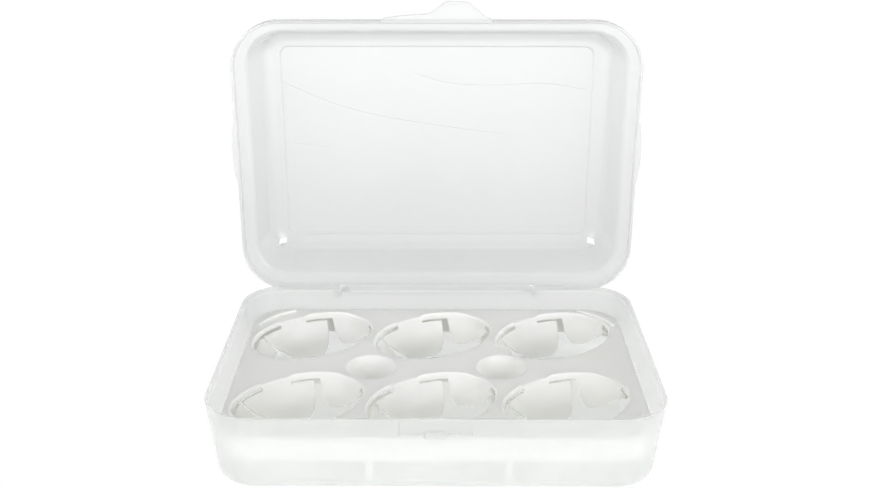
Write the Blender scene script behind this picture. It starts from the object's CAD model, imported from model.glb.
import math

import bmesh
import bpy
from mathutils import Matrix, Vector


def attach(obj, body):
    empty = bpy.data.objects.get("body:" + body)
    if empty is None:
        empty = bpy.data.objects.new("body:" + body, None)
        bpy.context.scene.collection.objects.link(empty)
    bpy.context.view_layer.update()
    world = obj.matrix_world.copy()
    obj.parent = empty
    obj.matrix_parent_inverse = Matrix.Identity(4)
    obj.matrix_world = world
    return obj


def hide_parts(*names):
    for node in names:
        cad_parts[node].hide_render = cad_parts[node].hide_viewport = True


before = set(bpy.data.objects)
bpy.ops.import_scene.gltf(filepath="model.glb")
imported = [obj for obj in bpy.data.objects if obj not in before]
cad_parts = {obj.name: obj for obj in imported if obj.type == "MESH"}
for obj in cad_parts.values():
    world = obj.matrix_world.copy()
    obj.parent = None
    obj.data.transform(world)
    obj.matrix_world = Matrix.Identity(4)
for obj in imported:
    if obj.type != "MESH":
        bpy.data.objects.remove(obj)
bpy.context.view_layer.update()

# All lengths below are in millimetres: MM turns them into the scene's metres.
MM = 0.001

# A cutting solid stands out this far past what it cuts
CUT_PAST = 1
# Edges of the tray's wall that turn by more than this are rounded
ROUNDED_FROM = math.radians(55)
# Edges that turn by more than this are shaded as crisp edges
CRISP_FROM = math.radians(38)

# TUB, TRAY and LID are outlines: width, depth and corner radius

# Tub
TUB = (200.0, 138.5, 21.6)
TUB_HEIGHT = 38.5
TUB_DRAW_IN = 4.4
TUB_WALL = 1.5
TUB_HEEL = 7.5
TUB_FLOOR_INSET = TUB_DRAW_IN + 14
RIM_LIP = 1.1
RIM_TOP_ROUND = 0.3
# The step under the lip, on the inside of the wall
LIP_STEP_Z = (36.3, 35.6)
# The catch: the opposite corners of its pad and its tooth, and its two slots
CATCH_PAD = ((-15.6, -69.2, 30.0), (15.6, -65.5, 37.6))
CATCH_TOOTH = ((-4.8, -69.9, 28.9), (4.8, -66.5, 33.3))
CATCH_SLOT_X = 7.7
CATCH_SLOT_HALF = 2.9
CATCH_SLOT_Y = (-71, -68.7)
CATCH_SLOT_Z = (30.9, 32.8)
BARREL_HALF = 50.6
BARREL_RADIUS = 2.4
BARREL_END_ROUND = 0.4
BORE_RADIUS = 1.4
BORE_DEPTH = 4.4
HINGE_Y = 72.2
HINGE_Z = 34.6
WEB_Y = 67.6
WEB_HALF = 1.2
# The narrow slits in the back rim, just past each end of the barrel
RIM_SLIT_X = 51.3
RIM_SLIT_HALF = 0.9
RIM_SLIT_Y = (65.5, 71)
RIM_SLIT_Z = (34.5, 41)

# Tray
TRAY = (190.0, 129.0, 16.8)
DECK_Z = 26.8
DECK_MARGIN = 2.3
DECK_EDGE_ROUND = 1.2
TRAY_WALL = 1.3
TRAY_WALL_ROUND = 0.3
TRAY_SKIRT_Z = 14.5
TRAY_SKIRT_DRAW_IN = 2.6
CUP_LONG = 31.0
CUP_SHORT = 22.2
CUP_DEPTH = 23.3
CUP_SLANT = math.radians(32)
CUP_SHIFT_X = -1.6
CUP_PITCH = 60.6
CUP_ROW_Y = 33.0
WELL_X = 31.2
WELL_Y = -0.8
WELL_RADIUS = 12.0
WELL_DEPTH = 8.0
# A well's soft rim, as (how far outside the well, height over the deck)
WELL_RIM = [(0.45, 0), (0.25, -0.05), (0.1, -0.15), (0, -0.35)]
# The bowl lies this much deeper than a plain ball's cap, so that it meets the soft rim
WELL_SINK = 0.2
WELL_RINGS = 10
WELL_SEGMENTS = 72
FOOT_RADIUS = 2.5
FOOT_TAPER = 0.8
FOOT_ROUND = 0.5
FOOT_Y = 55.5
FOOT_SIDESTEP = 3.0
FOOT_GAP = 0.4
# A corner rib's section: half of its height is sunk in the deck
RIB_WIDTH = 1.6
RIB_HEIGHT = 2.4
RIB_ROUND = 0.55
RIB_RADIUS = 27.0
RIB_HALF_TURN = math.radians(26)
# The middle of a corner rib's arc
RIB_X = 84.6
RIB_Y = 54.6

# Lid, worked out shut, with the skirt's edge at height 0
LID = (204.4, 142.8, 24.3)
SKIRT_EDGE_Z = 32.3
LID_DEPTH = 38.3
LID_WALL = 1.2
LID_TOP = 1.3
LID_EDGE_ROUND = 0.35
LEDGE_Z = 7.8
PANEL_RISE = 1.1
PANEL_OUTSIDE = LID_DEPTH + PANEL_RISE
PANEL_INSIDE = LID_DEPTH - LID_TOP + PANEL_RISE
# The back half of the lid's top is moved back by this much
PANEL_SHIFT = 1.8
# How far in the cuts in the lid's skirt reach
SKIRT_CUT = 2.4
VENT_X = 86.0
VENT_HALF = 2.0
VENT_Y = (55.2, 58.4)
VENT_Z = (31, 40)
# The clip: a long low swelling, with a tab on it to one side of the middle
CLIP_HALF = 26.4
CLIP_END_REACH = 1.6
CLIP_SWELL = 2.1
# Edges of the clip's plate that turn by more than this are rounded, in radians
CLIP_CORNER = 1.2
CLIP_SLIT_X = 26.9
CLIP_SLIT_HALF = 0.5
CLIP_SLIT_TOP = 4.6
TAB_X = 10.1
TAB_REACH = 6.3
TAB_FOOT_HALF = 15.3
TAB_TIP_HALF = 3.8
GRIP_Y = -5
GRIP_HALF = 17.0
GRIP_REACH = 2.0
GRIP_HEIGHT = 3.2
HINGE_GAP_HALF = 52.3
HINGE_GAP_TOP = 6.5
LUG_FROM_BARREL = 0.3
LUG_END = 4.6
PIN_RADIUS = 1.0
PIN_REACH = 3.1
# The stop heel on a lug, from the hinge's axis: where it starts and ends, and its drop
HEEL_START = 1.1
HEEL_END = 3.05
HEEL_DROP = 3.1

# How many steps round each corner of an outline
ROUND_STEPS = 14


# ------------------------------------------------------------------ profiles

def fillet_path(corners, steps):
    """A profile through (inset, height, radius) corners, each rounded by its radius."""
    path = [Vector(corners[0][:2])]
    for before, here, after in zip(corners, corners[1:], corners[2:]):
        corner = Vector(here[:2])
        back = (Vector(before[:2]) - corner).normalized()
        onward = (Vector(after[:2]) - corner).normalized()
        radius = here[2]
        if radius == 0:
            path.append(corner)
            continue
        half = back.angle(onward) / 2
        centre = corner + (back + onward).normalized() * radius / math.sin(half)
        start = corner + back * radius / math.tan(half) - centre
        finish = corner + onward * radius / math.tan(half) - centre
        turn = start.angle(finish)
        for k in range(steps + 1):
            share = k / steps
            arm = start * math.sin((1 - share) * turn) + finish * math.sin(share * turn)
            path.append(centre + arm / math.sin(turn))
    path.append(Vector(corners[-1][:2]))
    return path


def between(table, where):
    """A value read from a table of (place, value) pairs, on a straight line between each two."""
    if where <= table[0][0]:
        return table[0][1]
    for (low, first), (high, second) in zip(table, table[1:]):
        if where <= high:
            return first + (second - first) * (where - low) / (high - low)
    return table[-1][1]


def smooth(share):
    """A share from 0 to 1 that starts and ends gently."""
    share = min(max(share, 0), 1)
    return share * share * (3 - 2 * share)


# ------------------------------------------------------------------ mesh tools

def rounded_face(bm, outline, height, up):
    """A flat face with round corners, made by rounding the corners of one square."""
    width, depth, corner = outline
    known = set(bm.faces)
    verts = bmesh.ops.create_grid(bm, x_segments=1, y_segments=1, size=0.5)["verts"]
    bmesh.ops.scale(bm, vec=(width, depth, 1), verts=verts)
    bmesh.ops.translate(bm, vec=(0, 0, height), verts=verts)
    bmesh.ops.bevel(bm, geom=verts, offset=corner, affect="VERTICES", segments=ROUND_STEPS,
                    profile=0.5, material=-1)
    face = next(f for f in bm.faces if f not in known)
    face.normal_update()
    if (face.normal.z > 0) != up:
        bmesh.ops.reverse_faces(bm, faces=[face])
    return face


def sink(bm, face, path):
    """Carries a face along a profile of insets and heights, and leaves the wall behind it."""
    face.normal_update()
    facing = 1 if face.normal.z > 0 else -1
    for before, here in zip(path, path[1:]):
        bmesh.ops.inset_region(bm, faces=[face], thickness=here.x - before.x,
                               depth=(here.y - before.y) * facing, use_boundary=True,
                               use_even_offset=True)


def edges_where(bm, test):
    """The edges that pass a test."""
    return [edge for edge in bm.edges if test(edge)]


def shell(outline, outer, inner, lip=0.0):
    """A thin-walled vessel: an outer and an inner profile from the rim, joined over the rim."""
    bm = bmesh.new()
    rising = outer[-1].y > outer[0].y
    outside = rounded_face(bm, outline, outer[0].y, up=rising)
    sink(bm, outside, outer)
    inside = rounded_face(bm, outline, inner[0].y, up=not rising)
    sink(bm, inside, [Vector((0, inner[0].y))] + inner)
    # the first ring of the inside is only the lip's width: the bridge makes it again
    rim = [f for f in bm.faces if f is not inside and f is not outside
           and all(abs(v.co.z - inner[0].y) < 1e-6 for v in f.verts)]
    bmesh.ops.delete(bm, geom=rim, context="FACES")
    open_edges = edges_where(bm, lambda e: e.is_boundary)
    bridged = bmesh.ops.bridge_loops(bm, edges=open_edges)["faces"]
    if lip > 0:
        ring = {e for f in bridged for e in f.edges
                if sum(g in bridged for g in e.link_faces) == 1}
        bmesh.ops.bevel(bm, geom=list(ring), offset=lip, affect="EDGES", segments=4,
                        profile=0.5, material=-1)
    bmesh.ops.recalc_face_normals(bm, faces=bm.faces[:])
    return bm


def patch(bm, columns, rows, place):
    """A sheet of quads put in place by a function of its two shares, each from 0 to 1."""
    made = bmesh.ops.create_grid(bm, x_segments=columns, y_segments=rows, size=0.5)
    for vertex in made["verts"]:
        vertex.co = place(vertex.co.x + 0.5, vertex.co.y + 0.5)
    return made["verts"]


def slab(low, high, rounding=0.0, segments=3):
    """A box between two corners, with rounded edges."""
    bm = bmesh.new()
    bmesh.ops.create_cube(bm, size=1)
    size = [b - a for a, b in zip(low, high)]
    bmesh.ops.scale(bm, vec=size, verts=bm.verts[:])
    bmesh.ops.translate(bm, vec=[(a + b) / 2 for a, b in zip(low, high)], verts=bm.verts[:])
    if rounding > 0:
        bmesh.ops.bevel(bm, geom=bm.edges[:], offset=rounding, affect="EDGES",
                        segments=segments, profile=0.5, material=-1)
    return bm


def rod(radius, start, end, y, z, rounding=0.0):
    """A round bar along X."""
    bm = bmesh.new()
    bmesh.ops.create_cone(bm, cap_ends=True, segments=32, radius1=radius, radius2=radius,
                          depth=end - start)
    bmesh.ops.rotate(bm, matrix=Matrix.Rotation(math.pi / 2, 3, "Y"), verts=bm.verts[:])
    bmesh.ops.translate(bm, vec=((start + end) / 2, y, z), verts=bm.verts[:])
    if rounding > 0:
        rims = edges_where(bm, lambda e: any(len(f.verts) > 4 for f in e.link_faces))
        bmesh.ops.bevel(bm, geom=rims, offset=rounding, affect="EDGES", segments=3,
                        profile=0.5, material=-1)
    return bm


def piece(name, bm):
    """A new object of a finished bmesh, still in millimetres."""
    mesh = bpy.data.meshes.new(name)
    bm.to_mesh(mesh)
    bm.free()
    made = bpy.data.objects.new(name, mesh)
    bpy.context.scene.collection.objects.link(made)
    return made


def settle(made):
    """Applies a piece's modifiers to its mesh."""
    graph = bpy.context.evaluated_depsgraph_get()
    mesh = bpy.data.meshes.new_from_object(made.evaluated_get(graph))
    made.modifiers.clear()
    made.data = mesh
    return made


def combine(made, others, operation, solver="EXACT"):
    """Joins solids to a piece, or cuts them out of it."""
    for bm in others:
        tool = piece("tool", bm)
        step = made.modifiers.new("join", "BOOLEAN")
        step.operation = operation
        step.solver = solver
        step.object = tool
        settle(made)
        bpy.data.objects.remove(tool)


def round_edges(made, width):
    """Rounds the sharp edges of a wall."""
    bm = bmesh.new()
    bm.from_mesh(made.data)
    sharp = edges_where(bm, lambda e: e.is_manifold and e.calc_face_angle(0) > ROUNDED_FROM)
    bmesh.ops.bevel(bm, geom=sharp, offset=width, affect="EDGES", segments=3,
                    profile=0.5, material=-1, clamp_overlap=False)
    bm.to_mesh(made.data)
    bm.free()


def finish_mesh(made, move=None):
    """Turns a piece to metres, moves it to its place and smooths its shading."""
    made.data.transform(Matrix.Scale(MM, 4) @ (move or Matrix.Identity(4)))
    made.data.shade_smooth()
    made.data.set_sharp_from_angle(angle=CRISP_FROM)
    step = made.modifiers.new("even", "WEIGHTED_NORMAL")
    step.mode = "FACE_AREA"
    step.weight = 90
    step.keep_sharp = True
    return settle(made)


# ------------------------------------------------------------------ tub

def tub_catch():
    """The catch under the middle of the front rim: a pad with a tooth between two slots."""
    pad = slab(*CATCH_PAD, rounding=0.9, segments=4)
    tooth = slab(*CATCH_TOOTH, rounding=1.0, segments=4)
    slots = [slab((x - CATCH_SLOT_HALF, CATCH_SLOT_Y[0], CATCH_SLOT_Z[0]),
                  (x + CATCH_SLOT_HALF, CATCH_SLOT_Y[1], CATCH_SLOT_Z[1]), rounding=0.5)
             for x in (-CATCH_SLOT_X, CATCH_SLOT_X)]
    return [pad, tooth], slots


# The tub's profiles, and the lid's below, are corners of (inset, height, radius)
TUB_OUTSIDE = [
    (0, TUB_HEIGHT, 0),
    (TUB_DRAW_IN, 0, TUB_HEEL),
    (TUB_FLOOR_INSET, 0, 0),
]
TUB_INSIDE = [
    (RIM_LIP, TUB_HEIGHT, 0),
    (RIM_LIP, LIP_STEP_Z[0], 0.35),
    (TUB_WALL + 0.36, LIP_STEP_Z[1], 0.5),
    (TUB_DRAW_IN + TUB_WALL - 0.17, TUB_WALL, TUB_HEEL - TUB_WALL),
    (TUB_FLOOR_INSET, TUB_WALL, 0),
]


def make_tub():
    """The open box, with its catch, the hinge's barrel and the slits in the back rim."""
    outer = fillet_path(TUB_OUTSIDE, steps=8)
    inner = fillet_path(TUB_INSIDE, steps=8)
    made = piece("tub_shell", shell(TUB, outer, inner, lip=RIM_TOP_ROUND))
    solids, slots = tub_catch()
    end = BARREL_HALF - BARREL_END_ROUND
    barrel = rod(BARREL_RADIUS, -end, end, HINGE_Y, HINGE_Z, rounding=BARREL_END_ROUND)
    web = slab((-end, WEB_Y, HINGE_Z - WEB_HALF), (end, HINGE_Y, HINGE_Z + WEB_HALF))
    combine(made, solids + [barrel, web], "UNION")
    bores = [rod(BORE_RADIUS, first, last, HINGE_Y, HINGE_Z)
             for first, last in ((-BARREL_HALF - CUT_PAST, -BARREL_HALF + BORE_DEPTH),
                                 (BARREL_HALF - BORE_DEPTH, BARREL_HALF + CUT_PAST))]
    slits = [slab((x - RIM_SLIT_HALF, RIM_SLIT_Y[0], RIM_SLIT_Z[0]),
                  (x + RIM_SLIT_HALF, RIM_SLIT_Y[1], RIM_SLIT_Z[1]))
             for x in (-RIM_SLIT_X, RIM_SLIT_X)]
    combine(made, slots + bores + slits, "DIFFERENCE")
    return finish_mesh(made)


# ------------------------------------------------------------------ tray

def cup_centre(column, row):
    """The middle of a cup's mouth, by its column and its row."""
    return CUP_SHIFT_X + column * CUP_PITCH, row * CUP_ROW_Y


def cup_place(centre, degrees, depth, out=0.0):
    """A point of a cup's wall, at an angle round it and a depth below the deck."""
    share = math.sqrt(max(0.0, 1 - (max(depth, 0) / CUP_DEPTH) ** 2))
    angle = math.radians(degrees)
    along = (CUP_LONG * share + out) * math.cos(angle)
    across = (CUP_SHORT * share + out) * math.sin(angle)
    turn_cos, turn_sin = math.cos(CUP_SLANT), math.sin(CUP_SLANT)
    return Vector((
        centre[0] + along * turn_cos - across * turn_sin,
        centre[1] + along * turn_sin + across * turn_cos,
        DECK_Z - depth,
    ))


SLOT_BOTTOM = 3.3
# The degrees between two points of a cup's rim: fingers and necks start and end on whole steps
CUP_RIM_STEP = 3
RIM_OUTER = 1.4
RIM_INNER = 0.05
SHORTEST_FINGER = 1.6
# A cup's middle radius, which turns a finger's angles into a width
FINGER_RADIUS = 21

# The rounded rim of a cup and the same points where a bead is raised on it, as
# (how far outside the cup, height over the deck)
RIM_ROUND = [(RIM_OUTER, 0)] + [tuple(p) for p in fillet_path(
    [(RIM_OUTER, 0, 0), (RIM_INNER, 0, 1.0), (RIM_INNER, -1.05, 0)], steps=8)[1:-1]]
RIM_BEAD = [(RIM_OUTER, 0), (1.33, 0.4), (1.22, 0.75), (1.0, 0.98), (0.72, 1.1), (0.45, 1.05),
            (0.22, 0.88), (0.09, 0.6), (RIM_INNER, 0.2), (RIM_INNER, -0.4)]

# How deep the cup's rim reaches before the slot, by angle; it repeats every half turn.
RIM_REACH = [(0, 2.4), (78, 2.4), (87, 1.5), (174, 1.5), (180, 2.4)]
# The raised beads along the rim: first and last angle, the angle each end takes to rise,
# and how high it stands, as a share of the full bead.
BEADS = [(15, 79.5, 24, 2.5, 1.0), (104, 174, 3, 14, 1.0), (322, 356, 14, 5, 0.5)]

# Each finger: the angles its top spans, its side edges and its free edge as tables of
# (depth, angle) and (share across, depth), and the angles where a neck ties it to the rim.
FINGERS = {
    "back": dict(span=(57, 129), neck=(78, 105), drop=18.6, corner=5.0,
                 low=[(3.3, 57), (9, 55), (14, 52), (18, 50)],
                 high=[(3.3, 129), (6, 126), (9.2, 122), (13.4, 114), (18, 106)]),
    "front": dict(span=(237, 309), neck=(258, 285), drop=18.6, corner=5.0,
                  low=[(3.3, 237), (9, 235), (14, 232), (18, 230)],
                  high=[(3.3, 309), (6, 306), (9.2, 302), (13.4, 294), (18, 286)]),
    "left": dict(span=(132, 231), neck=(177, 231), drop=14.0, corner=4.0, dip=2.6,
                 low=[(3.3, 132), (6, 129.5), (9.2, 126), (13.4, 118), (18, 110)],
                 high=[(3.3, 231), (9, 227), (14, 219), (18, 212)]),
    "right": dict(span=(345, 411), neck=(357, 411), drop=14.1, corner=3.5,
                  edge=[(0, 3.7), (0.08, 4.6), (0.16, 6.6), (0.3, 9.6), (0.42, 11.4),
                        (0.55, 12.9), (0.75, 13.8), (1, 14.1)],
                  low=[(3.3, 345), (18, 345)],
                  high=[(3.3, 411), (9, 407), (14, 399), (18, 392)]),
}


def finger_depth(finger, share):
    """How deep a finger reaches at a share of its width, with its corners rounded."""
    first, last = finger["span"]
    width = math.radians(last - first) * FINGER_RADIUS
    corner = finger["corner"]
    depth = between(finger["edge"], share) if "edge" in finger else finger["drop"]
    near = (1 - share) * width if "edge" in finger else min(share, 1 - share) * width
    if near < corner:
        depth -= corner * (1 - math.sqrt(1 - (1 - near / corner) ** 2))
    return max(depth, SLOT_BOTTOM + SHORTEST_FINGER)


def add_cup(bm, centre):
    """One egg cup: a rounded rim, and four fingers that hang from it."""
    rows = len(RIM_ROUND)
    row_of, angle_of = (bm.verts.layers.float[name] for name in ("rim_row", "rim_angle"))

    def reach(angle):
        return between(RIM_REACH, angle % 180)

    columns = 360 // CUP_RIM_STEP
    for vertex in patch(bm, columns, rows, lambda across, down: Vector((across, down, 0))):
        angle, row = vertex.co.x * 360, round(vertex.co.y * rows)
        inset, rise = RIM_ROUND[row] if row < rows else (RIM_INNER, -reach(angle))
        vertex.co = cup_place(centre, angle, -rise, out=inset)
        vertex[row_of], vertex[angle_of] = row + 1, angle

    for finger in FINGERS.values():
        first, last = finger["span"]
        start, end = finger["neck"]

        def neck_place(across, down):
            angle = start + (end - start) * across
            depth = reach(angle) + (SLOT_BOTTOM - reach(angle)) * down
            return cup_place(centre, angle, depth, out=RIM_INNER * (1 - down))

        def finger_place(across, down):
            top = SLOT_BOTTOM
            if "dip" in finger:
                free = (start - first) / (last - first)
                top += finger["dip"] * math.sin(math.pi * min(across / free, 1)) ** 2
            depth = top + (finger_depth(finger, across) - top) * down
            low = between(finger["low"], depth)
            high = between(finger["high"], depth)
            return cup_place(centre, low + (high - low) * across, depth)

        patch(bm, (end - start) // CUP_RIM_STEP, 2, neck_place)
        patch(bm, (last - first) // CUP_RIM_STEP, 14, finger_place)


def raise_beads(made, sheet_size):
    """Raises the beads along the cups' rims, on the top side of the tray's wall only."""
    rows, angles = (made.data.attributes[name] for name in ("rim_row", "rim_angle"))
    centres = [cup_centre(column, row) for column in (-1, 0, 1) for row in (-1, 1)]
    for k in range(sheet_size):
        vertex = made.data.vertices[k]
        row, angle = round(rows.data[k].value) - 1, angles.data[k].value
        if not 0 <= row < len(RIM_BEAD):
            continue
        strength = 0
        for first, last, rise, fall, full in BEADS:
            risen = smooth((angle - first) / rise) * smooth((last - angle) / fall)
            strength = max(strength, full * risen)
        centre = min(centres, key=lambda c: (vertex.co.xy - Vector(c)).length)
        inset, height = Vector(RIM_ROUND[row]).lerp(Vector(RIM_BEAD[row]), strength)
        vertex.co = cup_place(centre, angle, -height, out=inset)
    for name in ("rim_row", "rim_angle"):
        made.data.attributes.remove(made.data.attributes[name])


def tray_foot(x, y, radius, top):
    """A post that reaches from under the deck to just above the tub's floor."""
    bottom = TUB_WALL + FOOT_GAP
    bm = bmesh.new()
    bmesh.ops.create_cone(bm, cap_ends=True, segments=32, radius1=radius * FOOT_TAPER,
                          radius2=radius, depth=top - bottom)
    bmesh.ops.translate(bm, vec=(x, y, (top + bottom) / 2), verts=bm.verts[:])
    rims = edges_where(bm, lambda e: all(v.co.z < bottom + 0.1 for v in e.verts))
    bmesh.ops.bevel(bm, geom=rims, offset=FOOT_ROUND, affect="EDGES", segments=3,
                    profile=0.5, material=-1)
    return bm


def add_well(bm, centre_x):
    """A round finger well: the cap of a ball, with a soft rim."""
    ball = (WELL_RADIUS ** 2 + WELL_DEPTH ** 2) / (2 * WELL_DEPTH)
    edge = math.asin(WELL_RADIUS / ball)
    path = [(WELL_RADIUS + out, rise) for out, rise in WELL_RIM]
    for k in range(1, WELL_RINGS + 1):
        angle = edge * (1 - k / WELL_RINGS)
        rise = -WELL_DEPTH + ball * (1 - math.cos(angle)) - WELL_SINK
        path.append((ball * math.sin(angle), rise))

    def place(across, down):
        radius, rise = path[round(down * (len(path) - 1))]
        angle = across * 2 * math.pi
        return Vector((centre_x + radius * math.cos(angle), WELL_Y + radius * math.sin(angle),
                       DECK_Z + rise))

    patch(bm, WELL_SEGMENTS, len(path) - 1, place)


def deck_sheet():
    """The tray as one sheet: the deck with its skirt, the cups and the wells."""
    bm = bmesh.new()
    for name in ("rim_row", "rim_angle"):
        bm.verts.layers.float.new(name)
    face = rounded_face(bm, TRAY, DECK_Z, up=True)
    sink(bm, face, [Vector((0, DECK_Z)), Vector((DECK_MARGIN, DECK_Z))])
    bmesh.ops.delete(bm, geom=[face], context="FACES_ONLY")
    outer = edges_where(bm, lambda e: e.is_boundary and all(on_outline(v.co) for v in e.verts))
    made = bmesh.ops.extrude_edge_only(bm, edges=outer)["geom"]
    foot = [v for v in made if isinstance(v, bmesh.types.BMVert)]
    bmesh.ops.translate(bm, vec=(0, 0, TRAY_SKIRT_Z - DECK_Z), verts=foot)
    bmesh.ops.scale(bm, vec=(1 - TRAY_SKIRT_DRAW_IN / TRAY[0], 1 - TRAY_SKIRT_DRAW_IN / TRAY[1], 1),
                    verts=foot)
    bmesh.ops.bevel(bm, geom=outer, offset=DECK_EDGE_ROUND, affect="EDGES", segments=4,
                    profile=0.5, material=-1)
    for row in (-1, 1):
        for column in (-1, 0, 1):
            add_cup(bm, cup_centre(column, row))
    add_well(bm, -WELL_X)
    add_well(bm, WELL_X)
    bmesh.ops.remove_doubles(bm, verts=bm.verts[:], dist=0.02)
    level = edges_where(bm, lambda e: e.is_boundary
                        and all(abs(v.co.z - DECK_Z) < 1e-4 for v in e.verts))
    bmesh.ops.triangle_fill(bm, edges=level, use_beauty=True, use_dissolve=False, normal=(0, 0, 1))
    bmesh.ops.recalc_face_normals(bm, faces=bm.faces[:])
    bm.normal_update()
    if sum(f.normal.z * f.calc_area() for f in bm.faces) < 0:
        bmesh.ops.reverse_faces(bm, faces=bm.faces[:])
    return bm


def on_outline(point):
    """True for a point on the deck's outermost edge."""
    width, depth, corner = TRAY
    core = Vector((max(abs(point.x) - width / 2 + corner, 0),
                   max(abs(point.y) - depth / 2 + corner, 0)))
    return core.length > corner - 0.5


def corner_rib(sign_x, sign_y):
    """A thin raised arc across a corner of the deck."""
    bm = bmesh.new()
    middle = math.atan2(sign_y, sign_x)
    verts = bmesh.ops.create_grid(bm, x_segments=1, y_segments=1, size=0.5)["verts"]
    bmesh.ops.scale(bm, vec=(RIB_WIDTH, RIB_HEIGHT, 1), verts=verts)
    bmesh.ops.bevel(bm, geom=verts, offset=RIB_ROUND, affect="VERTICES", segments=4, profile=0.5,
                    material=-1)
    bmesh.ops.rotate(bm, matrix=Matrix.Rotation(math.pi / 2, 3, "X"), verts=bm.verts[:])
    bmesh.ops.translate(bm, vec=(RIB_RADIUS, 0, 0), verts=bm.verts[:])
    bmesh.ops.rotate(bm, matrix=Matrix.Rotation(middle - RIB_HALF_TURN, 3, "Z"), verts=bm.verts[:])
    bmesh.ops.spin(bm, geom=bm.verts[:] + bm.edges[:] + bm.faces[:], cent=(0, 0, 0), axis=(0, 0, 1),
                   angle=2 * RIB_HALF_TURN, steps=24, use_duplicate=False)
    # from the arc's middle back to the point that it turns about
    back = RIB_RADIUS / math.sqrt(2)
    bmesh.ops.translate(bm, vec=(sign_x * (RIB_X - back), sign_y * (RIB_Y - back), DECK_Z),
                        verts=bm.verts[:])
    bmesh.ops.recalc_face_normals(bm, faces=bm.faces[:])
    return bm


def make_tray():
    """The deck, given a wall and its rims' beads, with the corner ribs and the feet."""
    made = piece("egg_tray", deck_sheet())
    wall = made.modifiers.new("wall", "SOLIDIFY")
    wall.thickness = TRAY_WALL
    wall.offset = -1
    wall.use_even_offset = True
    wall.use_quality_normals = True
    sheet_size = len(made.data.vertices)
    settle(made)
    raise_beads(made, sheet_size)
    round_edges(made, TRAY_WALL_ROUND)
    added = [corner_rib(sign_x, sign_y) for sign_x in (-1, 1) for sign_y in (-1, 1)]
    for side in (-1, 1):
        between_cups = CUP_SHIFT_X + side * CUP_PITCH / 2
        top = DECK_Z - TRAY_WALL / 2
        added.append(tray_foot(between_cups - FOOT_SIDESTEP, FOOT_Y, FOOT_RADIUS, top))
        added.append(tray_foot(between_cups + FOOT_SIDESTEP, -FOOT_Y, FOOT_RADIUS, top))
        added.append(tray_foot(side * WELL_X, WELL_Y, 2 * FOOT_RADIUS,
                               DECK_Z - WELL_DEPTH - TRAY_WALL / 2))
    combine(made, added, "UNION", solver="MANIFOLD")
    return finish_mesh(made)


# ------------------------------------------------------------------ lid

def clip_reach(x):
    """How far the clip's edge stands out from the lid's front edge."""
    shoulder = CLIP_END_REACH + CLIP_SWELL * (1 - (x / CLIP_HALF) ** 2)
    tab = (TAB_FOOT_HALF - abs(x - TAB_X)) / (TAB_FOOT_HALF - TAB_TIP_HALF)
    return shoulder + TAB_REACH * smooth(tab)


def lid_clip(first=-CLIP_HALF, last=CLIP_HALF, low=0.0, high=1.6, margin=0.0, start=0.6):
    """The clip's plate, or a raised facet on it that keeps a margin to its edge."""
    bm = bmesh.new()
    root = -LID[1] / 2 + start

    def place(across, out):
        x = first + (last - first) * across
        reach = -LID[1] / 2 - max(clip_reach(x) - margin, 0.4)
        return Vector((x, root + (reach - root) * out, low))

    patch(bm, 64, 6, place)
    bmesh.ops.recalc_face_normals(bm, faces=bm.faces[:])
    made = bmesh.ops.extrude_face_region(bm, geom=bm.faces[:])["geom"]
    top = [v for v in made if isinstance(v, bmesh.types.BMVert)]
    bmesh.ops.translate(bm, vec=(0, 0, high - low), verts=top)
    bmesh.ops.recalc_face_normals(bm, faces=bm.faces[:])
    rims = edges_where(bm, lambda e: len(e.link_faces) == 2
                       and e.calc_face_angle(0) > CLIP_CORNER
                       and min(v.co.y for v in e.verts) < root - 0.5)
    bmesh.ops.bevel(bm, geom=rims, offset=0.4, affect="EDGES", segments=3,
                    profile=0.5, material=-1)
    return bm


def lid_grip(side):
    """A low swelling of the skirt's edge, for a fingertip."""
    bm = bmesh.new()
    edge = side * (LID[0] / 2 - 0.4)

    def place(along, out):
        y = GRIP_Y + GRIP_HALF * (2 * along - 1)
        swell = GRIP_REACH * math.sqrt(max(0, 1 - (2 * along - 1) ** 2)) ** 1.5
        return Vector((edge + side * (swell + 0.1) * out, y, 0))

    patch(bm, 40, 3, place)
    bmesh.ops.recalc_face_normals(bm, faces=bm.faces[:])
    made = bmesh.ops.extrude_face_region(bm, geom=bm.faces[:])["geom"]
    top = [v for v in made if isinstance(v, bmesh.types.BMVert)]
    bmesh.ops.translate(bm, vec=(0, 0, GRIP_HEIGHT), verts=top)
    bmesh.ops.recalc_face_normals(bm, faces=bm.faces[:])
    return bm


def curve_point(points, share):
    """A point and a sideways direction on a smooth curve through the given points."""
    place = min(share, 0.99999) * (len(points) - 1)
    k = int(place)
    t = place - k
    p1, p2 = Vector(points[k]), Vector(points[k + 1])
    p0 = Vector(points[k - 1]) if k > 0 else 2 * p1 - p2
    p3 = Vector(points[k + 2]) if k + 2 < len(points) else 2 * p2 - p1
    point = (p1 * 2 + (p2 - p0) * t + (p0 * 2 - p1 * 5 + p2 * 4 - p3) * t ** 2
             + (p1 * 3 - p0 - p2 * 3 + p3) * t ** 3) / 2
    slope = ((p2 - p0) + (p0 * 2 - p1 * 5 + p2 * 4 - p3) * 2 * t
             + (p1 * 3 - p0 - p2 * 3 + p3) * 3 * t ** 2)
    return point, Vector((slope.y, -slope.x)).normalized()


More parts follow.
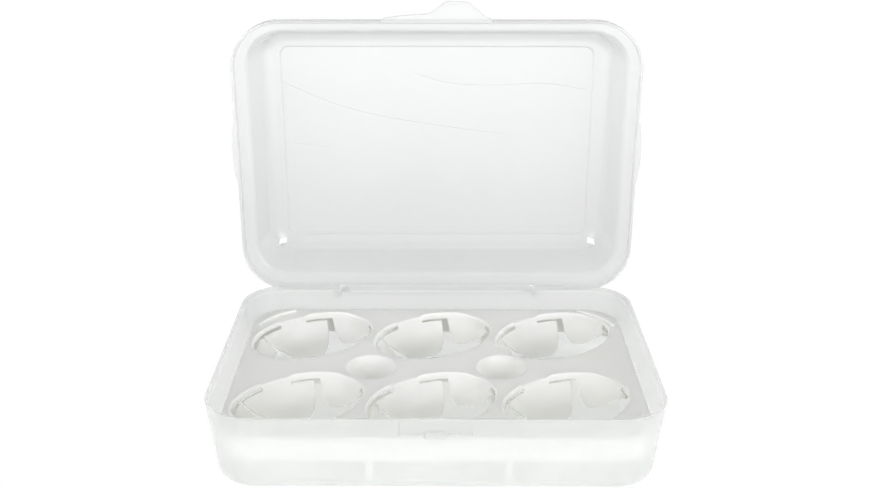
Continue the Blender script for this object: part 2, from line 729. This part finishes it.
def wave_crest(points, spread, fade_in, fade_out):
    """A low wave on the lid's panel: steep on one side, fading away on the other."""
    bm = bmesh.new()
    profile = [(-0.4, -0.12), (-0.15, 0.06), (0.05, 0.4), (0.3, 0.5), (0.2 * spread, 0.4),
               (0.5 * spread, 0.2), (0.85 * spread, 0.0), (spread, -0.1)]

    def place(along, out):
        point, side = curve_point(points, along)
        offset, height = profile[round(out * (len(profile) - 1))]
        strength = smooth(along / fade_in) * smooth((1 - along) / fade_out)
        drop = height * strength - 0.1 * (1 - strength)
        return Vector((point.x + side.x * offset, point.y + side.y * offset, PANEL_INSIDE - drop))

    patch(bm, 120, len(profile) - 1, place)
    made = bmesh.ops.extrude_face_region(bm, geom=bm.faces[:])["geom"]
    for vertex in made:
        if isinstance(vertex, bmesh.types.BMVert):
            vertex.co.z = PANEL_INSIDE + 0.5
    bmesh.ops.recalc_face_normals(bm, faces=bm.faces[:])
    return bm


# Each wave: the points it runs through, its spread, and the shares of its length over
# which it rises and fades
WAVES = [
    ([(-82.7, -33.3), (-57.9, -22.2), (-32.7, -14.9), (-6.4, -10.2), (25, -5.8), (56, -2.6)],
     11, 0.002, 0.2),
    ([(-21, -41.2), (-9, -36.7), (7.5, -32.2), (32, -31.2), (58, -32.0), (80.5, -28.5)],
     8, 0.35, 0.02),
    ([(-80.5, 0.6), (-66, 2.2), (-50, 4.4)], 7, 0.02, 0.6),
]


def lid_hinge():
    """The two lugs behind the skirt, each with its pin and its stop heel."""
    axis_z = HINGE_Z - SKIRT_EDGE_Z
    solids = []
    for side in (-1, 1):
        near, far = BARREL_HALF + LUG_FROM_BARREL, BARREL_HALF + LUG_END
        low, high = min(side * near, side * far), max(side * near, side * far)
        solids.append(rod(BARREL_RADIUS, low, high, HINGE_Y, axis_z, rounding=0.3))
        solids.append(slab((low, HINGE_Y + HEEL_START, axis_z - HEEL_DROP),
                           (high, HINGE_Y + HEEL_END, axis_z)))
        ends = (side * (near - PIN_REACH), side * (near + 1))
        solids.append(rod(PIN_RADIUS, min(ends), max(ends), HINGE_Y, axis_z))
    return solids


LID_OUTSIDE = [
    (0, 0, 0),
    (0.1, LEDGE_Z, 0.9),
    (5.8, LEDGE_Z, 0.9),
    (10.16, LID_DEPTH, 9.4),
    (18.9, LID_DEPTH, 0.25),
    (19.5, PANEL_OUTSIDE, 0.25),
    (21, PANEL_OUTSIDE, 0),
]
LID_INSIDE = [
    (LID_WALL, 0, 0),
    (LID_WALL, LEDGE_Z - LID_TOP, 0.4),
    (7.1, LEDGE_Z - LID_TOP, 2.2),
    (11.2, LID_DEPTH - LID_TOP, 8.2),
    (19.3, LID_DEPTH - LID_TOP, 0.3),
    (20.1, PANEL_INSIDE, 0.4),
    (21.5, PANEL_INSIDE, 0),
]


def make_lid():
    """The lid with its cuts, clip, grips, hinge and waves, turned upright on its hinge."""
    outer = fillet_path(LID_OUTSIDE, steps=7)
    inner = fillet_path(LID_INSIDE, steps=7)
    bm = shell(LID, outer, inner, lip=LID_EDGE_ROUND)
    for vertex in bm.verts:
        if vertex.co.y > 0:
            vertex.co.y += PANEL_SHIFT * smooth((vertex.co.z - 29) / 8)
    made = piece("lid_shell", bm)
    back = LID[1] / 2
    hinge_gap = slab((-HINGE_GAP_HALF, back - SKIRT_CUT, -CUT_PAST),
                     (HINGE_GAP_HALF, back + CUT_PAST, HINGE_GAP_TOP))
    slits = [slab((x - CLIP_SLIT_HALF, -back - CUT_PAST, -CUT_PAST),
                  (x + CLIP_SLIT_HALF, -back + SKIRT_CUT, CLIP_SLIT_TOP))
             for x in (-CLIP_SLIT_X, CLIP_SLIT_X)]
    vents = [slab((x - VENT_HALF, VENT_Y[0], VENT_Z[0]), (x + VENT_HALF, VENT_Y[1], VENT_Z[1]))
             for x in (-VENT_X, VENT_X)]
    combine(made, [hinge_gap] + slits + vents, "DIFFERENCE")
    waves = [wave_crest(*wave) for wave in WAVES]
    combine(made, [lid_clip(), lid_grip(-1), lid_grip(1)] + lid_hinge() + waves, "UNION")
    facet = lid_clip(-1.5, 21.5, 0.83, 2.4, margin=1.3, start=0.17)
    combine(made, [facet], "UNION", solver="MANIFOLD")
    upright = (Matrix.Translation((0, HINGE_Y, HINGE_Z)) @ Matrix.Rotation(-math.pi / 2, 4, "X")
               @ Matrix.Translation((0, -HINGE_Y, SKIRT_EDGE_Z - HINGE_Z)))
    return finish_mesh(made, move=upright)


# ------------------------------------------------------------------ materials

def new_material(name):
    """A material with its node tree and its Principled shader."""
    material = bpy.data.materials.new(name)
    material.use_nodes = True
    tree = material.node_tree
    return material, tree, tree.nodes["Principled BSDF"]


def moulded_skin():
    """The surface of a moulded wall: clouds in the plastic, a fine grain and faint rub marks."""
    group = bpy.data.node_groups.new("moulded_skin", "ShaderNodeTree")
    for name, kind, value in (
            ("Color", "Color", (1, 1, 1, 1)), ("Cloud Color", "Color", (0.9, 0.9, 0.9, 1)),
            ("Cloud Scale", "Float", 25), ("Cloud Strength", "Float", 0.5),
            ("Roughness", "Float", 0.35), ("Rub Strength", "Float", 0.1),
            ("Grain Scale", "Float", 2200), ("Haze", "Float", 1), ("Haze Spread", "Float", 0.05)):
        socket = group.interface.new_socket(name=name, in_out="INPUT",
                                            socket_type="NodeSocket" + kind)
        socket.default_value = value
    for name, kind in (("Color", "Color"), ("Roughness", "Float"), ("Haze", "Float"),
                       ("Height", "Float")):
        group.interface.new_socket(name=name, in_out="OUTPUT", socket_type="NodeSocket" + kind)
    nodes, link = group.nodes, group.links.new
    given, found = nodes.new("NodeGroupInput").outputs, nodes.new("NodeGroupOutput").inputs
    place = nodes.new("ShaderNodeTexCoord").outputs["Object"]

    def noise(scale, detail, roughness, vector=place):
        node = nodes.new("ShaderNodeTexNoise")
        node.inputs["Detail"].default_value = detail
        node.inputs["Roughness"].default_value = roughness
        link(vector, node.inputs["Vector"])
        if isinstance(scale, (int, float)):
            node.inputs["Scale"].default_value = scale
        else:
            link(scale, node.inputs["Scale"])
        return node.outputs["Fac"]

    def spread(value, low, high, to_low=0.0, to_high=1.0):
        node = nodes.new("ShaderNodeMapRange")
        for name, number in (("From Min", low), ("From Max", high), ("To Min", to_low),
                             ("To Max", to_high)):
            node.inputs[name].default_value = number
        link(value, node.inputs["Value"])
        return node.outputs["Result"]

    def work(operation, first, second, third=None):
        node = nodes.new("ShaderNodeMath")
        node.operation = operation
        for socket, value in zip(node.inputs, (first, second, third)):
            if isinstance(value, (int, float)):
                socket.default_value = value
            elif value is not None:
                link(value, socket)
        return node.outputs["Value"]

    clouds = spread(noise(given["Cloud Scale"], 4, 0.55), 0.32, 0.68)
    stretch = nodes.new("ShaderNodeMapping")
    stretch.inputs["Scale"].default_value = (40, 520, 520)
    stretch.inputs["Rotation"].default_value = (0, 0.15, 0.35)
    link(place, stretch.inputs["Vector"])
    rubs = spread(noise(1, 2, 0.6, stretch.outputs["Vector"]), 0.58, 0.72)
    grain = noise(given["Grain Scale"], 3, 0.7)

    tint = nodes.new("ShaderNodeMix")
    tint.data_type = "RGBA"
    link(work("MULTIPLY", clouds, given["Cloud Strength"]), tint.inputs["Factor"])
    link(given["Color"], tint.inputs["A"])
    link(given["Cloud Color"], tint.inputs["B"])
    link(tint.outputs["Result"], found["Color"])

    rubbed = work("MULTIPLY_ADD", rubs, given["Rub Strength"], given["Roughness"])
    link(work("MULTIPLY_ADD", spread(clouds, 0, 1, -0.5, 0.5), given["Rub Strength"], rubbed),
         found["Roughness"])
    link(work("MULTIPLY_ADD", spread(clouds, 0, 1, -0.5, 0.5), given["Haze Spread"],
              given["Haze"]), found["Haze"])
    link(work("MULTIPLY_ADD", rubs, 0.35, work("MULTIPLY_ADD", clouds, 0.8, grain)),
         found["Height"])
    return group


def moulded_plastic(name, skin, relief, **values):
    """A plastic with the moulded skin on it; its plain values are set by the caller."""
    material, tree, shader = new_material(name)
    node = tree.nodes.new("ShaderNodeGroup")
    node.node_tree = skin
    for socket, value in values.items():
        node.inputs[socket.replace("_", " ")].default_value = value
    bump = tree.nodes.new("ShaderNodeBump")
    bump.inputs["Strength"].default_value = relief
    bump.inputs["Distance"].default_value = 0.0002
    tree.links.new(node.outputs["Color"], shader.inputs["Base Color"])
    tree.links.new(node.outputs["Roughness"], shader.inputs["Roughness"])
    tree.links.new(node.outputs["Height"], bump.inputs["Height"])
    tree.links.new(bump.outputs["Normal"], shader.inputs["Normal"])
    return material, shader, node


def clear_plastic(skin):
    """The milky plastic of the tub and the lid: partly see-through, partly a soft blur."""
    material, shader, node = moulded_plastic(
        "milky_clear_polypropylene", skin, relief=0.02, Color=(0.895, 0.915, 0.907, 1),
        Cloud_Color=(0.87, 0.893, 0.885, 1), Cloud_Scale=17, Cloud_Strength=0.6, Roughness=0.3,
        Rub_Strength=0.03, Grain_Scale=2600, Haze=0.475, Haze_Spread=0.03)
    material.node_tree.links.new(node.outputs["Haze"], shader.inputs["Alpha"])
    shader.inputs["IOR"].default_value = 1.46
    shader.inputs["Transmission Weight"].default_value = 0.7
    shader.inputs["Coat Weight"].default_value = 0.7
    shader.inputs["Coat Roughness"].default_value = 0.12
    return material


def white_plastic(skin):
    """The tray's plastic, with light scattered inside it."""
    material, shader, _ = moulded_plastic(
        "white_polypropylene", skin, relief=0.1, Color=(0.955, 0.955, 0.897, 1),
        Cloud_Color=(0.93, 0.935, 0.868, 1), Cloud_Scale=30, Cloud_Strength=0.8, Roughness=0.36,
        Rub_Strength=0.1, Grain_Scale=2400)
    shader.inputs["IOR"].default_value = 1.49
    shader.inputs["Subsurface Weight"].default_value = 1.0
    shader.inputs["Subsurface Radius"].default_value = (1, 1, 0.9)
    shader.inputs["Subsurface Scale"].default_value = 0.0028
    return material


# ------------------------------------------------------------------ pieces

def coat(made, material):
    """Gives a piece its one material."""
    made.data.materials.clear()
    made.data.materials.append(material)


skin = moulded_skin()
clear = clear_plastic(skin)
white = white_plastic(skin)

tub = make_tub()
coat(tub, clear)
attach(tub, "base")
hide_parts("tub")

tray = make_tray()
coat(tray, white)
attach(tray, "base")
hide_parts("tray")

lid = make_lid()
coat(lid, clear)
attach(lid, "lid")
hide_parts("lid")


# ------------------------------------------------------------------ studio

# The studio's lengths are in metres.
FLOOR_HALF = 4.0
FLOOR_DROP = 0.0004
# The floor's glow along Y: where it starts and ends, its strength at both ends, and the
# points between them as (share of the way, strength)
GLOW_RANGE = (-0.35, 1.1)
GLOW_ENDS = (0.52, 0.5)
GLOW_CURVE = [(0.27, 0.52), (0.37, 0.05), (0.47, 0.12), (0.8, 0.45)]
SURROUND_STRENGTH = 0.41

SOFTBOXES = {
    "left_softbox": dict(place=(-1.35, -1.6, 0.48), target=(0, 0, 0.05), size=(1.5, 0.85),
                         power=19),
    "right_softbox": dict(place=(1.35, -1.6, 0.48), target=(0, 0, 0.05), size=(1.5, 0.85),
                          power=24.5),
    "overhead_softbox": dict(place=(0.0, -0.15, 1.5), target=(0, -0.05, 0), size=(1.0, 0.35),
                             power=3.2),
    "sweep_softbox": dict(place=(0.0, 1.3, 1.1), target=(0, 1.5, 0), size=(2.4, 0.8), power=4),
}

CAMERA_PLACE = (1.52 * MM, -465.26 * MM, 273.3 * MM)
CAMERA_DOWN = math.radians(21.577)
CAMERA_TURN = math.radians(0.254)
SENSOR_WIDTH = 36
LENS_LENGTH = 45.31448


def make_floor():
    """A pale floor that glows a little, so that it reads as a lit sweep."""
    bm = bmesh.new()
    bmesh.ops.create_grid(bm, x_segments=1, y_segments=1, size=FLOOR_HALF)
    mesh = bpy.data.meshes.new("floor")
    bm.to_mesh(mesh)
    bm.free()
    floor = bpy.data.objects.new("floor", mesh)
    floor.location = (0, 0, -FLOOR_DROP)
    bpy.context.scene.collection.objects.link(floor)
    material, tree, shader = new_material("pale_floor")
    shader.inputs["Base Color"].default_value = (0.7, 0.7, 0.7, 1)
    shader.inputs["Roughness"].default_value = 0.9
    shader.inputs["Emission Color"].default_value = (1, 1, 1, 1)
    # the sweep is lit from in front and from far behind, so it dims just behind the object
    coordinates = tree.nodes.new("ShaderNodeTexCoord")
    along = tree.nodes.new("ShaderNodeSeparateXYZ")
    glow = tree.nodes.new("ShaderNodeFloatCurve")
    curve = glow.mapping.curves[0]
    for point, share, strength in zip(curve.points, (0, 1), GLOW_ENDS):
        point.location = (share, strength)
    for place in GLOW_CURVE:
        curve.points.new(*place)
    glow.mapping.update()
    reach = tree.nodes.new("ShaderNodeMapRange")
    for name, end in zip(("From Min", "From Max"), GLOW_RANGE):
        reach.inputs[name].default_value = end
    tree.links.new(coordinates.outputs["Object"], along.inputs["Vector"])
    tree.links.new(along.outputs["Y"], reach.inputs["Value"])
    tree.links.new(reach.outputs["Result"], glow.inputs["Value"])
    tree.links.new(glow.outputs["Value"], shader.inputs["Emission Strength"])
    # the eye sees the sweep as overexposed white, however the object shades it
    path = tree.nodes.new("ShaderNodeLightPath")
    white = tree.nodes.new("ShaderNodeEmission")
    mix = tree.nodes.new("ShaderNodeMixShader")
    tree.links.new(path.outputs["Is Camera Ray"], mix.inputs[0])
    tree.links.new(shader.outputs["BSDF"], mix.inputs[1])
    tree.links.new(white.outputs["Emission"], mix.inputs[2])
    tree.links.new(mix.outputs["Shader"], tree.nodes["Material Output"].inputs["Surface"])
    floor.data.materials.append(material)


def soft_light(name, place, target, size, power):
    """A softbox at a place, aimed at a target, with its width and height and its watts."""
    data = bpy.data.lights.new(name, "AREA")
    data.shape = "RECTANGLE"
    data.size, data.size_y = size
    data.energy = power
    lamp = bpy.data.objects.new(name, data)
    lamp.location = place
    lamp.rotation_euler = (Vector(target) - Vector(place)).to_track_quat("-Z", "Y").to_euler()
    bpy.context.scene.collection.objects.link(lamp)


def make_surround():
    """An even white surround, which the eye sees as overexposed white too."""
    world = bpy.data.worlds.new("studio")
    bpy.context.scene.world = world
    world.use_nodes = True
    tree = world.node_tree
    surround = tree.nodes["Background"]
    surround.inputs["Color"].default_value = (1, 1, 1, 1)
    path = tree.nodes.new("ShaderNodeLightPath")
    strength = tree.nodes.new("ShaderNodeMapRange")
    strength.inputs["To Min"].default_value = SURROUND_STRENGTH
    strength.inputs["To Max"].default_value = 1.0
    tree.links.new(path.outputs["Is Camera Ray"], strength.inputs["Value"])
    tree.links.new(strength.outputs["Result"], surround.inputs["Strength"])


def make_camera():
    """The camera in front of the carrier, looking down on it."""
    data = bpy.data.cameras.new("camera")
    data.sensor_width = SENSOR_WIDTH
    data.lens = LENS_LENGTH
    camera = bpy.data.objects.new("camera", data)
    camera.location = CAMERA_PLACE
    camera.rotation_euler = (math.pi / 2 - CAMERA_DOWN, 0, CAMERA_TURN)
    bpy.context.scene.collection.objects.link(camera)
    bpy.context.scene.camera = camera


make_floor()
for name, light in SOFTBOXES.items():
    soft_light(name, **light)
make_surround()
make_camera()

bpy.context.scene.view_settings.view_transform = "Standard"

bpy.context.view_layer.update()
